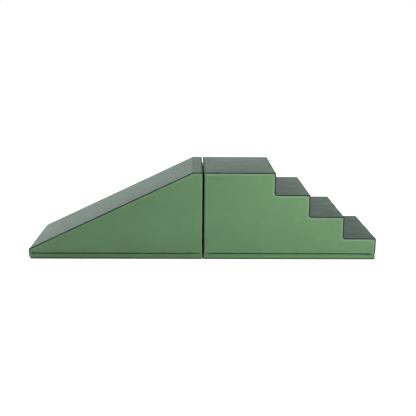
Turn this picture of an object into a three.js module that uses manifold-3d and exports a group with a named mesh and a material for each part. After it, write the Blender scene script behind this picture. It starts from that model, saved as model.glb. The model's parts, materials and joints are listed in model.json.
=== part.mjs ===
// Soft play foam climber: a ramp block and a stair block in sewn covers, standing end to end.
// Millimetres, +Z up. The origin is on the floor, midway between the blocks, at the centre of all they cover.
// The ramp lies towards -X, the stairs towards +X, and the long side with the zip faces -Y.
// Inside a block, u is the distance outwards from the tall wall that faces the other block.

import * as THREE from "three";
import { mergeVertices } from "three/addons/utils/BufferGeometryUtils.js";
import Module from "manifold-3d";

const wasm = await Module();
wasm.setup();

// Both blocks
const blockLength = 982;
const blockDepth = 550;
const blockHeight = 500;

// Ramp
const lipLength = 55;
const noseHeight = 58;
const lipFoldRadius = 30;

// Stairs
const platformLength = 402;
const treadLength = 197;
const levelCount = 4;
const innerCornerRadius = 8;

// Covers: padded leathercloth, with the dark cover rolled over its edges onto the sides and the tall wall,
// and the green tall wall wrapped round onto both sides
const coverThickness = 4;
const wallWrap = 10;
const rollRadius = 6;
const rollTuck = 1;
const seamWidth = 5;
const seamDrop = 2;
const clearance = 0.3;
const overrun = 1;

// Underside and the green band above it
const baseThickness = 4;
const baseInset = 1;
const bandTop = 29;
const bandRounding = 2;

// Zip, along the front of a block, in the slot between the band and the front panel
const rampZipInset = 18;
const stairZipInset = 24;
const zipSlot = 7;
const coilHeight = 4.4;
const coilRecess = 1.4;
const coilRounding = 1.2;
const tapeWidth = 10.5;
const tapeThickness = 0.8;
const stopLength = 5;
const stopRise = 0.6;

// Zip slider and its pull
const sliderLength = 11;
const sliderProud = 1.2;
const sliderEase = 0.6;
const bridgeWidth = 2.4;
const bridgeBar = 1.2;
const bridgeSpan = 6;
const pullLength = 24;
const pullWidth = 7;
const pullThickness = 1.5;
const pullBarRadius = 0.8;
const pullWindowWidth = 4;
const pullWindowLength = 6;
const pullEndRadius = 3;

// Hook and loop strips between the tall walls
const stripThickness = 2.4;
const stripWidth = 50;
const stripHeight = 340;
const stripTopInset = 25;
const stripEdgeInset = 50;
const stripCornerRadius = 6;

// Counts of facets
const arcSegments = 3;
const seamSegments = 2;
const barSides = 8;

// Sizes that follow from the ones above
const riserHeight = blockHeight / levelCount;
const nosingRadius = rollRadius + clearance;
const wallSeam = wallWrap + clearance;
const coreInset = coverThickness + clearance;
const coreEase = Math.max(rollRadius - coreInset, clearance);
const coreFloor = baseThickness + clearance;
const hemHeight = bandTop + zipSlot;
const coilMiddle = bandTop + zipSlot / 2;
const hemLeaf = coverThickness - tapeThickness - clearance;
const tapeShows = (zipSlot - coilHeight) / 2 - clearance;
const tapeHidden = tapeWidth - tapeShows;
const panelFloor = bandTop + clearance;
const wallTop = blockHeight - nosingRadius - clearance;
const pullAxis = sliderProud + clearance + pullBarRadius;
const bridgeUnder = pullAxis + pullBarRadius + clearance;
const bridgeReach = bridgeUnder + bridgeBar;
const wallGap = 2 * stripThickness + 3 * clearance;

const materials = {
  green: cloth("#6b946b", 0.5),
  dark: cloth("#3f5a4c", 0.42),
  foam: cloth("#e6e3d8", 0.95),
  base: cloth("#39463b", 0.85),
  tape: cloth("#2f5a40", 0.9),
  coil: cloth("#2b4f39", 0.45),
  hook: cloth("#20261f", 0.95),
  metal: new THREE.MeshStandardMaterial({ color: "#35503f", roughness: 0.4, metalness: 0.5 }),
};

function cloth(color, roughness) {
  return new THREE.MeshStandardMaterial({ color, roughness, metalness: 0 });
}

// Closing, joining and cutting solids

function toSolid(geometry) {
  const bare = geometry.clone();
  bare.deleteAttribute("normal");
  bare.deleteAttribute("uv");
  const merged = mergeVertices(bare);
  return new wasm.Manifold(new wasm.Mesh({
    numProp: 3,
    vertProperties: merged.attributes.position.array,
    triVerts: new Uint32Array(merged.index.array),
  }));
}

function toGeometry(solid) {
  const mesh = solid.getMesh();
  const geometry = new THREE.BufferGeometry();
  geometry.setAttribute("position", new THREE.BufferAttribute(mesh.vertProperties, 3));
  geometry.setIndex(new THREE.BufferAttribute(mesh.triVerts, 1));
  geometry.computeVertexNormals();
  return geometry;
}

function cut(geometry, tool) {
  return toGeometry(toSolid(geometry).subtract(toSolid(tool)));
}

function join(geometry, other) {
  return toGeometry(toSolid(geometry).add(toSolid(other)));
}

// A closed skin from points and faces, turned so that its faces point out
function closedSkin(points, faces) {
  const cross = new THREE.Vector3();
  const volume = faces.reduce((sum, [a, b, c]) => {
    return sum + points[a].dot(cross.crossVectors(points[b], points[c]));
  }, 0);
  const turned = faces.map(([a, b, c]) => (volume > 0 ? [a, b, c] : [a, c, b]));
  const geometry = new THREE.BufferGeometry().setFromPoints(points);
  geometry.setIndex(turned.flat());
  geometry.computeVertexNormals();
  return geometry;
}

// A solid through rings of points, closed on itself or capped at both ends by the rings' outline
function loft(rings, outline, closed) {
  const size = outline.length;
  const lastRing = size * (rings.length - 1);
  const faces = [];
  for (let i = 0; i < (closed ? rings.length : rings.length - 1); i++) {
    const here = i * size;
    const there = ((i + 1) % rings.length) * size;
    for (let j = 0; j < size; j++) {
      const next = (j + 1) % size;
      faces.push([here + j, there + j, there + next], [here + j, there + next, here + next]);
    }
  }
  const outlineArea = THREE.ShapeUtils.area(outline);
  for (const cap of closed ? [] : THREE.ShapeUtils.triangulateShape(outline, [])) {
    const sameWay = THREE.ShapeUtils.area(cap.map((k) => outline[k])) * outlineArea > 0;
    const [a, b, c] = sameWay ? cap : [...cap].reverse();
    faces.push([a, b, c], [lastRing + a, lastRing + c, lastRing + b]);
  }
  return closedSkin(rings.flat(), faces);
}

// Block profiles: the outer line up the tall wall, along the top and down to the foot of the outer end

function corner(u, z, radius = 0) {
  return { point: new THREE.Vector2(u, z), radius };
}

function rampCorners() {
  return [
    corner(0, 0),
    corner(0, blockHeight, nosingRadius),
    corner(lipLength, blockHeight, lipFoldRadius),
    corner(blockLength, noseHeight, nosingRadius),
    corner(blockLength, 0),
  ];
}

function stairCorners() {
  const corners = [corner(0, 0), corner(0, blockHeight, nosingRadius)];
  for (let level = levelCount; level > 1; level--) {
    const edge = platformLength + (levelCount - level) * treadLength;
    corners.push(corner(edge, level * riserHeight, nosingRadius));
    corners.push(corner(edge, (level - 1) * riserHeight, innerCornerRadius));
  }
  corners.push(corner(blockLength, riserHeight, nosingRadius));
  corners.push(corner(blockLength, 0));
  return corners;
}

function outwards(along) {
  return new THREE.Vector2(-along.y, along.x);
}

function direction(from, to) {
  return to.point.clone().sub(from.point).normalize();
}

// Points along the profile, each with its outward direction; rounded corners become arcs
function stationsOf(corners) {
  const first = { point: corners[0].point, out: outwards(direction(corners[0], corners[1])) };
  const last = { point: corners.at(-1).point, out: outwards(direction(corners.at(-2), corners.at(-1))) };
  const stations = [first];
  for (let i = 1; i < corners.length - 1; i++) {
    const { point, radius } = corners[i];
    const before = direction(corners[i - 1], corners[i]);
    const after = direction(corners[i], corners[i + 1]);
    const turn = Math.atan2(before.cross(after), before.dot(after));
    const swing = -Math.sign(turn) * radius;
    const start = point.clone().addScaledVector(before, -radius * Math.tan(Math.abs(turn) / 2));
    const centre = start.addScaledVector(outwards(before), -swing);
    for (let k = 0; k <= arcSegments; k++) {
      const out = outwards(before).rotateAround(new THREE.Vector2(), (turn * k) / arcSegments);
      stations.push({ point: centre.clone().addScaledVector(out, swing), out });
    }
  }
  return [...stations, last];
}

// The profile moved inwards, closed by the tall wall and a floor; side says which way u runs along X
function insetShape(block, inset, wallInset, floor, side = block.side) {
  const line = [new THREE.Vector2(wallInset, floor)];
  for (const { point, out } of block.stations.slice(1, -1)) {
    const moved = point.clone().addScaledVector(out, -inset);
    moved.x = Math.max(moved.x, wallInset);
    if (moved.distanceTo(line.at(-1)) > clearance / 2) {
      line.push(moved);
    }
  }
  line.push(new THREE.Vector2(blockLength - inset, floor));
  return new THREE.Shape(line.map(({ x, y }) => new THREE.Vector2(side * x, y)));
}

function roundedRectangle(width, height, radius) {
  const x = width / 2;
  const y = height / 2;
  const shape = new THREE.Shape();
  shape.absarc(x - radius, y - radius, radius, 0, Math.PI / 2);
  shape.absarc(radius - x, y - radius, radius, Math.PI / 2, Math.PI);
  shape.absarc(radius - x, radius - y, radius, Math.PI, (3 * Math.PI) / 2);
  shape.absarc(x - radius, radius - y, radius, (3 * Math.PI) / 2, 2 * Math.PI);
  return shape;
}

function extrude(shape, depth) {
  return new THREE.ExtrudeGeometry(shape, { depth, bevelEnabled: false, curveSegments: arcSegments });
}

// Foam core, with its front and back edges eased to suit the rounded corners of the covers
function foamCore(block) {
  const depth = blockDepth - 2 * coreInset - 2 * coreEase;
  const core = new THREE.ExtrudeGeometry(insetShape(block, coreInset, coreInset, coreFloor), {
    depth,
    bevelThickness: coreEase,
    bevelSize: coreEase,
    bevelOffset: -coreEase,
    bevelSegments: seamSegments,
  });
  return core.translate(0, 0, -depth / 2).rotateX(Math.PI / 2);
}

// Covers

// A cover panel, flat inside at Z = 0 and facing +Z, with its outer edges eased down to the seams
function paddedPanel(shape, depth) {
  const panel = new THREE.ExtrudeGeometry(shape, {
    depth,
    bevelThickness: seamDrop,
    bevelSize: seamWidth,
    bevelOffset: -seamWidth,
    bevelSegments: seamSegments,
    curveSegments: arcSegments,
  });
  panel.translate(0, 0, -seamDrop).computeBoundingBox();
  const centre = panel.boundingBox.getCenter(new THREE.Vector3());
  const size = panel.boundingBox.getSize(new THREE.Vector3()).addScalar(overrun);
  const behind = new THREE.BoxGeometry(size.x, size.y, size.z);
  return cut(panel, behind.translate(centre.x, centre.y, -size.z / 2));
}

function sidePanel(block, side) {
  const panel = paddedPanel(insetShape(block, nosingRadius, wallSeam, panelFloor, side), coverThickness);
  return panel.rotateX(Math.PI / 2).translate(0, coverThickness - blockDepth / 2, 0);
}

// The front panel has the zip's slot along its foot, and behind the hem a rebate for the upper zip tape
function frontPanel(block) {
  const behind = coverThickness + overrun;
  const slot = bar(-overrun, behind, panelFloor - overrun, hemHeight);
  const rebate = bar(hemLeaf, behind, hemHeight - overrun, hemHeight + tapeHidden + clearance);
  const slotted = cut(sidePanel(block, block.side), zipRun(block, slot, block.zipInset));
  return cut(slotted, zipRun(block, rebate, block.zipInset));
}

function backPanel(block) {
  return sidePanel(block, -block.side).rotateZ(Math.PI);
}

// The tall wall has a rim along both sides, where it turns round the corner
function tallWall(block) {
  const height = wallTop - panelFloor;
  const inside = new THREE.BoxGeometry(blockDepth - 2 * coverThickness, height + 2 * overrun, wallWrap);
  inside.translate(0, 0, wallWrap / 2 - coverThickness);
  const wall = cut(paddedPanel(roundedRectangle(blockDepth, height, rollRadius), wallWrap), inside);
  wall.rotateX(Math.PI / 2).rotateZ((-block.side * Math.PI) / 2);
  return wall.translate(block.side * wallWrap, 0, panelFloor + height / 2);
}

// The dark cover follows the profile over the full depth, from the top of the tall wall to the outer foot,
// and rolls over both long edges
function topCover(block) {
  const edge = [];
  for (let k = 0; k <= arcSegments; k++) {
    const angle = (Math.PI * k) / arcSegments / 2;
    const tuck = rollTuck * (1 - k / arcSegments);
    const inset = rollRadius * (1 - Math.cos(angle)) + tuck;
    edge.push(new THREE.Vector2(blockDepth / 2 - inset, rollRadius * (1 - Math.sin(angle))));
  }
  const lip = new THREE.Vector2(blockDepth / 2 - coverThickness, rollRadius);
  const bend = new THREE.Vector2(blockDepth / 2 - coverThickness, coverThickness);
  const half = [bend, lip, ...edge];
  const otherHalf = half.map(({ x, y }) => new THREE.Vector2(-x, y)).reverse();
  const outline = [...half, ...otherHalf];
  const end = { point: new THREE.Vector2(blockLength, panelFloor), out: block.stations.at(-1).out };
  const rings = [...block.stations.slice(1, -1), end].map(({ point, out }) => {
    return outline.map(({ x: across, y: depth }) => {
      const { x: u, y: z } = point.clone().addScaledVector(out, -depth);
      return new THREE.Vector3(block.side * u, across, z);
    });
  });
  return loft(rings, outline, false);
}

// Lower edge

function planCorner(u, y, fromAngle) {
  const stations = [];
  for (let k = 0; k <= arcSegments; k++) {
    const angle = fromAngle + (Math.PI * k) / arcSegments / 2;
    stations.push({ u, y, outU: Math.cos(angle), outY: Math.sin(angle) });
  }
  return stations;
}

// The green band runs round the block, with a section of [inset from the side, height]
function baseBand(block) {
  const section = [
    [bandRounding, coreFloor],
    [0, coreFloor + bandRounding],
    [0, bandTop - bandRounding],
    [bandRounding / 2, bandTop],
    [coverThickness, bandTop],
    [coverThickness, coreFloor],
  ];
  const near = rollRadius;
  const far = blockLength - rollRadius;
  const y = blockDepth / 2 - rollRadius;
  const stations = [
    ...planCorner(near, -y, Math.PI),
    ...planCorner(far, -y, (3 * Math.PI) / 2),
    ...planCorner(far, y, 0),
    ...planCorner(near, y, Math.PI / 2),
  ];
  const rings = stations.map((station) => {
    return section.map(([inset, z]) => {
      const reach = rollRadius - inset;
      const u = station.u + station.outU * reach;
      return new THREE.Vector3(block.side * u, station.y + station.outY * reach, z);
    });
  });
  const outline = section.map(([inset, z]) => new THREE.Vector2(inset, z));
  const rebate = bar(hemLeaf, coverThickness + overrun, bandTop - tapeHidden - clearance, bandTop + overrun);
  return cut(loft(rings, outline, true), zipRun(block, rebate, block.zipInset));
}

function baseSheet() {
  const width = blockLength - 2 * baseInset;
  const depth = blockDepth - 2 * baseInset;
  return extrude(roundedRectangle(width, depth, rollRadius), baseThickness);
}

// Zip: straight pieces along the front, with sections of [inset from the front, height]

function bar(outer, inner, low, high) {
  return [
    [outer, low],
    [inner, low],
    [inner, high],
    [outer, high],
  ];
}

// A section drawn as [Y, Z] and extruded along X
function alongX(section, length) {
  const shape = new THREE.Shape(section.map(([y, z]) => new THREE.Vector2(y, z)));
  return extrude(shape, length).translate(0, 0, -length / 2).rotateX(Math.PI / 2).rotateZ(Math.PI / 2);
}

function zipRun(block, section, endInset) {
  const run = alongX(section, blockLength - 2 * endInset);
  return run.translate((block.side * blockLength) / 2, -blockDepth / 2, 0);
}

function coilInset(block) {
  return block.zipInset + stopLength + 2 * clearance;
}

function sliderPark(block) {
  return blockLength - coilInset(block) - sliderLength / 2;
}

function zipTape(block, low) {
  const section = bar(coverThickness - tapeThickness, coverThickness, low, low + tapeWidth);
  return zipRun(block, section, block.zipInset + clearance);
}

function zipCoil(block) {
  const low = coilMiddle - coilHeight / 2;
  const high = coilMiddle + coilHeight / 2;
  const section = [
    [coilRecess, low + coilRounding],
    [coilRecess + coilRounding, low],
    [coverThickness, low],
    [coverThickness, high],
    [coilRecess + coilRounding, high],
    [coilRecess, high - coilRounding],
  ];
  return zipRun(block, section, coilInset(block));
}

function zipStop() {
  return new THREE.BoxGeometry(stopLength, coverThickness - coilRecess + stopRise, coilHeight);
}

// Slider: a channel that straddles the coil, with a bridge over it for the pull
function zipSlider() {
  const outer = zipSlot / 2 - clearance;
  const inner = coilHeight / 2 + clearance;
  const half = [
    [coilRecess - clearance, inner],
    [hemLeaf, inner],
    [hemLeaf, outer],
    [sliderEase - sliderProud, outer],
    [-sliderProud, outer - sliderEase],
  ];
  const mirrored = half.map(([y, z]) => [y, -z]).reverse();
  return join(alongX([...half, ...mirrored], sliderLength), sliderBridge());
}

function sliderBridge() {
  const foot = sliderProud - overrun;
  const inner = bridgeSpan / 2;
  const half = [
    [inner, -bridgeUnder],
    [inner, -foot],
    [inner + bridgeBar, -foot],
    [inner + bridgeBar, -bridgeUnder],
    [inner, -bridgeReach],
  ];
  const mirrored = half.map(([x, y]) => [-x, y]).reverse();
  const arch = new THREE.Shape([...half, ...mirrored].map(([x, y]) => new THREE.Vector2(x, y)));
  return extrude(arch, bridgeWidth).translate(0, 0, -bridgeWidth / 2);
}

// Pull: a tab towards -X whose end bar turns under the bridge, with a window that the bridge passes through
function zipPull() {
  const half = pullWidth / 2;
  const tab = new THREE.Shape();
  tab.moveTo(0, -half);
  tab.lineTo(0, half);
  tab.absarc(pullEndRadius - pullLength, half - pullEndRadius, pullEndRadius, Math.PI / 2, Math.PI);
  tab.absarc(pullEndRadius - pullLength, pullEndRadius - half, pullEndRadius, Math.PI, (3 * Math.PI) / 2);
  tab.holes.push(new THREE.Path([
    new THREE.Vector2(-pullBarRadius, -pullWindowWidth / 2),
    new THREE.Vector2(-pullBarRadius, pullWindowWidth / 2),
    new THREE.Vector2(-pullBarRadius - pullWindowLength, pullWindowWidth / 2),
    new THREE.Vector2(-pullBarRadius - pullWindowLength, -pullWindowWidth / 2),
  ]));
  const plate = extrude(tab, pullThickness).translate(0, 0, -pullThickness / 2).rotateX(Math.PI / 2);
  const endBar = new THREE.CylinderGeometry(pullBarRadius, pullBarRadius, pullWidth, barSides);
  return join(plate, endBar.rotateX(Math.PI / 2));
}

// Hook and loop strips

function fasteningStrip() {
  const strip = extrude(roundedRectangle(stripWidth, stripHeight, stripCornerRadius), stripThickness);
  return strip.translate(0, 0, -stripThickness / 2).rotateX(Math.PI / 2).rotateZ(Math.PI / 2);
}

// Assembly

function addPiece(group, name, geometry, material) {
  const mesh = new THREE.Mesh(geometry, material);
  mesh.name = name;
  group.add(mesh);
  return mesh;
}

function addCovers(group, block) {
  addPiece(group, `${block.name}_foam_core`, foamCore(block), materials.foam);
  addPiece(group, `${block.name}_${block.topName}`, topCover(block), materials.dark);
  addPiece(group, `${block.name}_front_panel`, frontPanel(block), materials.green);
  addPiece(group, `${block.name}_back_panel`, backPanel(block), materials.green);
  addPiece(group, `${block.name}_tall_wall`, tallWall(block), materials.green);
  addPiece(group, `${block.name}_base_band`, baseBand(block), materials.green);
  const base = addPiece(group, `${block.name}_base_sheet`, baseSheet(), materials.base);
  base.position.x = (block.side * blockLength) / 2;
}

function addZip(group, block) {
  const lowerTape = zipTape(block, bandTop + tapeShows - tapeWidth);
  addPiece(group, `${block.name}_zip_lower_tape`, lowerTape, materials.tape);
  const upperTape = zipTape(block, hemHeight - tapeShows);
  addPiece(group, `${block.name}_zip_upper_tape`, upperTape, materials.tape);
  addPiece(group, `${block.name}_zip_coil`, zipCoil(block), materials.coil);
  const stopInset = (coverThickness + coilRecess - stopRise) / 2;
  const near = block.zipInset + clearance + stopLength / 2;
  for (const [end, u] of [["bottom", near], ["top", blockLength - near]]) {
    const stop = addPiece(group, `${block.name}_zip_${end}_stop`, zipStop(), materials.metal);
    stop.position.set(block.side * u, stopInset - blockDepth / 2, coilMiddle);
  }
}

function addSlider(group, block) {
  const carriage = new THREE.Group();
  carriage.position.set(block.side * sliderPark(block), -blockDepth / 2, coilMiddle);
  addPiece(carriage, `${block.name}_zip_slider`, zipSlider(), materials.metal);
  const pull = addPiece(carriage, `${block.name}_zip_pull`, zipPull(), materials.metal);
  pull.position.y = -pullAxis;
  pull.rotation.z = block.side > 0 ? 0 : Math.PI;
  group.add(carriage);
}

function addStrips(group, block) {
  const acrossY = blockDepth / 2 - stripEdgeInset - stripWidth / 2;
  for (const [place, y] of [["front", -acrossY], ["back", acrossY]]) {
    const name = `${block.name}_${block.stripName}_${place}`;
    const strip = addPiece(group, name, fasteningStrip(), materials.hook);
    const x = -block.side * (clearance + stripThickness / 2);
    strip.position.set(x, y, blockHeight - stripTopInset - stripHeight / 2);
  }
}

const blocks = [
  {
    name: "ramp",
    side: -1,
    topName: "slide_cover",
    stripName: "hook_strip",
    zipInset: rampZipInset,
    corners: rampCorners(),
  },
  {
    name: "stair",
    side: 1,
    topName: "step_cover",
    stripName: "loop_strip",
    zipInset: stairZipInset,
    corners: stairCorners(),
  },
];

// The sliders stand proud of the front, so the blocks lie half of that behind the origin
const climber = new THREE.Group();
climber.name = "soft_play_foam_climber";
climber.position.y = bridgeReach / 2;
for (const block of blocks) {
  block.stations = stationsOf(block.corners);
  const group = new THREE.Group();
  group.position.x = (block.side * wallGap) / 2;
  addCovers(group, block);
  addZip(group, block);
  addSlider(group, block);
  addStrips(group, block);
  climber.add(group);
}

export default climber;
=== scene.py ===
# Soft play foam climber: a covered foam ramp and a covered foam stair block, on a plain pale floor.
# Metres, +Z up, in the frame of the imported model. The ramp lies towards -X and the stairs towards +X.
# Inside a block, u is the distance outwards from the tall wall that faces the other block.

import json
import math
from types import SimpleNamespace

import bmesh
import bpy
import numpy as np
from mathutils import Matrix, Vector
from mathutils.geometry import delaunay_2d_cdt


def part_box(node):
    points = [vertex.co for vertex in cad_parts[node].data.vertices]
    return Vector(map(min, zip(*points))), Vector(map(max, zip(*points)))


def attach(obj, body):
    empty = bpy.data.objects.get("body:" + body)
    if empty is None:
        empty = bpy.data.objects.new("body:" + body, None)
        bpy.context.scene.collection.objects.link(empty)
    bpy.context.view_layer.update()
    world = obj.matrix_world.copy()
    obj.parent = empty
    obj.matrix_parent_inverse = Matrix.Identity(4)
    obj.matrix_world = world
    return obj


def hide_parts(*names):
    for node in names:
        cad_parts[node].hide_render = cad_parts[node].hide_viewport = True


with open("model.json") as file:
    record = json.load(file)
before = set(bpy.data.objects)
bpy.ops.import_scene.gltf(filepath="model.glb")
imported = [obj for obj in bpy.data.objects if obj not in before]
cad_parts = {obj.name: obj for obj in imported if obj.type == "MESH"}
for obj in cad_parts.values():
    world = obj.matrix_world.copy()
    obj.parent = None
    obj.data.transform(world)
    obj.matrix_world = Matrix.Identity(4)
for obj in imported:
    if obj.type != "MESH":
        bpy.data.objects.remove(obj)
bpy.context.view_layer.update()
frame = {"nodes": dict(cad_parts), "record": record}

MM = 0.001

# Sizes that the frame gives
band_low, band_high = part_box("stair_base_band")
wall_low, wall_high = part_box("stair_tall_wall")
panel_low, panel_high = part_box("stair_front_panel")
coil_low, coil_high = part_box("stair_zip_coil")
tape_low, tape_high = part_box("stair_zip_upper_tape")
GAP_HALF = band_low.x
LENGTH = band_high.x - band_low.x
HALF_DEPTH = (band_high.y - band_low.y) / 2
MIDDLE_Y = (band_high.y + band_low.y) / 2
BAND_TOP = band_high.z
BASE_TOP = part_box("stair_base_sheet")[1].z
COVER = panel_high.y - panel_low.y
WRAP = wall_high.x - wall_low.x
PANEL_FLOOR = wall_low.z
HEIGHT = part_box("stair_step_cover")[1].z
COIL_RECESS = coil_low.y - band_low.y
COIL_MIDDLE = (coil_low.z + coil_high.z) / 2
COIL_HALF = (coil_high.z - coil_low.z) / 2
TAPE = tape_high.y - tape_low.y

# Block shapes
LIP = 55 * MM
NOSE = 58 * MM
LIP_FOLD = 30 * MM
NOSE_FOLD = 9 * MM
NOSE_FOOT = 15 * MM
STEP_FOOT = 7 * MM
WALL_FOOT = 8 * MM
PLATFORM = 402 * MM
TREAD = 197 * MM
LEVELS = 4
INNER_CORNER = 8 * MM
CLEARANCE = 0.3 * MM

# Covers and their seams
ROLL = 6 * MM
EDGE_RADIUS = 2.6 * MM
TUCK = 1 * MM
SHELL = 2.4 * MM
NOSING = ROLL + CLEARANCE
SEAM_WIDTH = 12 * MM
SEAM_DROP = 2.3 * MM
# How far the painted shade in a seam reaches
SEAM_SHADE_REACH = 0.6 * MM
EASE_POWER = 2
# Painted highlight beside the seams
HIGHLIGHT_PLACE = 4.5 * MM
HIGHLIGHT_WIDTH = 5 * MM
PANEL_CORNER = 1.5 * MM
# Painted shade on the dark cover's rolled edges and folds, and painted highlight inside its seams and on its
# folds
EDGE_SHADE = 4.5 * MM
HIGHLIGHT_INSIDE = 17 * MM
FOLD_SHADE_SHARE = 0.5
FOLD_HIGHLIGHT_SHARE = 0.5
BEAD_HEIGHT = 0.6 * MM
BEAD_PLACE = 5 * MM
BEAD_WIDTH = 3 * MM
CROWN = 2.5 * MM
CROWN_SHARE = 0.008
WALL_FOLD = 8 * MM
# Painted shade on the tall wall inside the gap between the blocks
GAP_SHADE_FROM = 7.5 * MM
GAP_SHADE_WIDTH = 2 * MM
GAP_SHADE_TO = 30 * MM
WALL_SINK = 2.4 * MM
WALL_SINK_WIDTH = 70 * MM
WALL_SWELL = 1.8 * MM
WALL_SWELL_WIDTH = 130 * MM
HEM_SWELL = 1.6 * MM
HEM_PLACE = 2.5 * MM
HEM_REACH = 7 * MM
HEM_DROP = 0.9 * MM
HEM_TURN = 2.2 * MM
WAIST_REACH = 28 * MM
FLAT_SEAM_DROP = 0.25 * MM
FLAT_SEAM_WIDTH = 1.5 * MM
SEAM_SHUT = 0.5 * MM
SEAM_SHUT_WIDTH = 2 * MM
PUCKER_DEPTH = 0.35 * MM
PUCKER_LENGTH = 17 * MM
PUCKER_GROUP = 160 * MM
PUCKER_REACH = 13 * MM
PUCKER_EVEN_SHARE = 0.6
WAVE_DEPTH = 0.3 * MM
WAVE_LENGTH = 190 * MM
WAVE_COUNT = 9
WAVE_PACE_SHARES = (0.7, 1.4)
WAVE_SQUEEZE = 1.6
WAVE_FADE = 25 * MM

# Sheets of cover that settle by cloth simulation
SHEET_STEP = 12 * MM
SHEET_FRAMES = 20
SHEET_QUALITY = 5
SHEET_MASS = 0.2
SHEET_BENDING = 1
SHEET_GROWTH = -0.0008
SHEET_SHRINK = 0.0008
SHEET_STIFFNESS = 150
SHEET_SHEAR_SHARE = 0.25
SHEET_PUSH_SHARE = 0.03
SHEET_FULL_SHARE = 0.5
SHEET_UNEVEN_SHARE = 0.35
SHEET_EASE_LENGTH = 110 * MM
SHEET_CAP = 1.5 * MM
SHEET_HOLD = 14 * MM

# Steps of the meshes
ARC_STEP = 1.3 * MM
EDGE_STEP = 3 * MM
GRID_STEP = 6 * MM
COVER_STEP = 5 * MM
EASE_ROWS = tuple(MM * row for row in (0.7, 1.5, 2.6, 4, 5.6, 7.4, 9.4, 11.6))
WRAP_ROWS = tuple(MM * row for row in (0.7, 1.5, 2.6, 4, 5.2, 6.2, 7.2, 8.2, 9.2, 10.2, 11.2, 12.2, 13.4, 15))
ROW_CLEAR_SHARE = 0.9
MERGE_WITHIN = 0.0003 * MM
JUST_INSIDE = 0.001
POINTS_AT_ONCE = 1500
ROLL_STEPS = 6
TURN_STEPS = 5
PUFF_STEPS = 6
CAPSULE_SHARES = ((-0.5, 0.35), (-0.38, 0.8), (-0.15, 1), (0.15, 1), (0.38, 0.8), (0.5, 0.35))
DOT_SHARES = ((1, -0.3), (1, 0.35), (0.75, 0.85), (0.4, 1))
CAPSULE_SIDES = 6
DOT_SIDES = 8

# Lower edge: band, zip and base sheet
HEM = 2 * COIL_MIDDLE - BAND_TOP
HEM_LEAF = COVER - TAPE - CLEARANCE
BAND_FOLD = 1.8 * MM
BAND_TURN = 0.6 * MM
BAND_FOOT = 4.5 * MM
BAND_PUFF = 0.5 * MM
BAND_PUFF_SHARE = 0.4
BAND_GATHER_PLACE = 2 * MM
BAND_GATHER_SHARE = 0.8
FOOT_TUCK_SHARE = 0.8
ZIP_FADE = 5 * MM
TOOTH_PITCH = 2 * MM
TOOTH_HEIGHT = 1.5 * MM
TOOTH_LENGTH_SHARE = 1.25
TOOTH_WIDTH_SHARE = 0.62
TOOTH_SHIFT_SHARE = 0.38
CORD_DEPTH_SHARE = 0.55
CORD_HALF_SHARE = 0.85
BASE_INSET = 1 * MM
DOT_PITCH = 13 * MM
DOT_RADIUS = 2 * MM
DOT_HEIGHT = 0.5 * MM
DOT_MARGIN = 10 * MM

# Thread
STITCH_PITCH = 4.2 * MM
STITCH_LENGTH = 3.4 * MM
STITCH_RADIUS = 0.4 * MM
STITCH_INSET = 4.5 * MM
STITCH_END_GAP = 4 * MM

# Softened edges of the hard parts and the strips
CORE_BEVEL = 2 * MM
STRIP_BEVEL = 0.4 * MM
METAL_BEVEL = 0.3 * MM
WELD_WITHIN = 0.01 * MM
FLAT_ANGLE = math.radians(2)
EDGE_ANGLE = math.radians(28)

SLOT_COLOURS = {m["slot"]: m["base_color"] for m in frame["record"]["materials"]}


# Camera, where the photograph was taken from

CAMERA_PLACE = (-0.0616, -4.4108, 1.2534)
CAMERA_YAW = 0.02146
CAMERA_PITCH = 0.22677
CAMERA_ROLL = 0.009
IMAGE_PIXELS = 416
FOCAL_PIXELS = 758
SENSOR_MM = 36


def add_object(name, data):
    made = bpy.data.objects.new(name, data)
    bpy.context.scene.collection.objects.link(made)
    return made


def stand(thing, place_at, axes):
    """Puts a thing at a place, with its own three axes along these directions."""
    thing.matrix_world = Matrix.Translation(place_at) @ Matrix(np.column_stack(axes)).to_4x4()


def add_camera():
    yaw, pitch, roll = CAMERA_YAW, CAMERA_PITCH, CAMERA_ROLL
    ahead = np.array([math.sin(yaw) * math.cos(pitch), math.cos(yaw) * math.cos(pitch), -math.sin(pitch)])
    level = np.array([math.cos(yaw), -math.sin(yaw), 0])
    above = np.cross(level, ahead)
    right = level * math.cos(roll) + above * math.sin(roll)
    up = above * math.cos(roll) - level * math.sin(roll)
    data = bpy.data.cameras.new("camera")
    data.sensor_width = SENSOR_MM
    data.lens = SENSOR_MM * FOCAL_PIXELS / IMAGE_PIXELS
    camera = add_object("camera", data)
    stand(camera, CAMERA_PLACE, (right, up, -ahead))
    bpy.context.scene.camera = camera


# Lines with rounded corners


def unit(vector):
    return np.asarray(vector, float) / np.linalg.norm(vector)


def left_of(way):
    return np.array([-way[1], way[0]])


def turned(vector, angle):
    cosine, sine = math.cos(angle), math.sin(angle)
    return np.array([cosine * vector[0] - sine * vector[1], sine * vector[0] + cosine * vector[1]])


def crossed(a, b):
    return a[0] * b[1] - a[1] * b[0]


def arc_at(before, spot, after, radius):
    """Points of one rounded corner, each with its outward direction, which is left of the line's way."""
    turn = math.atan2(crossed(before, after), before @ after)
    if radius <= 0:
        return [(spot, unit(left_of(before) + left_of(after)))]
    swing = -math.copysign(radius, turn)
    start = spot - before * radius * math.tan(abs(turn) / 2)
    centre = start - left_of(before) * swing
    steps = max(2, math.ceil(radius * abs(turn) / ARC_STEP))
    outs = [turned(left_of(before), turn * k / steps) for k in range(steps + 1)]
    return [(centre + out * swing, out) for out in outs]


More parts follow.
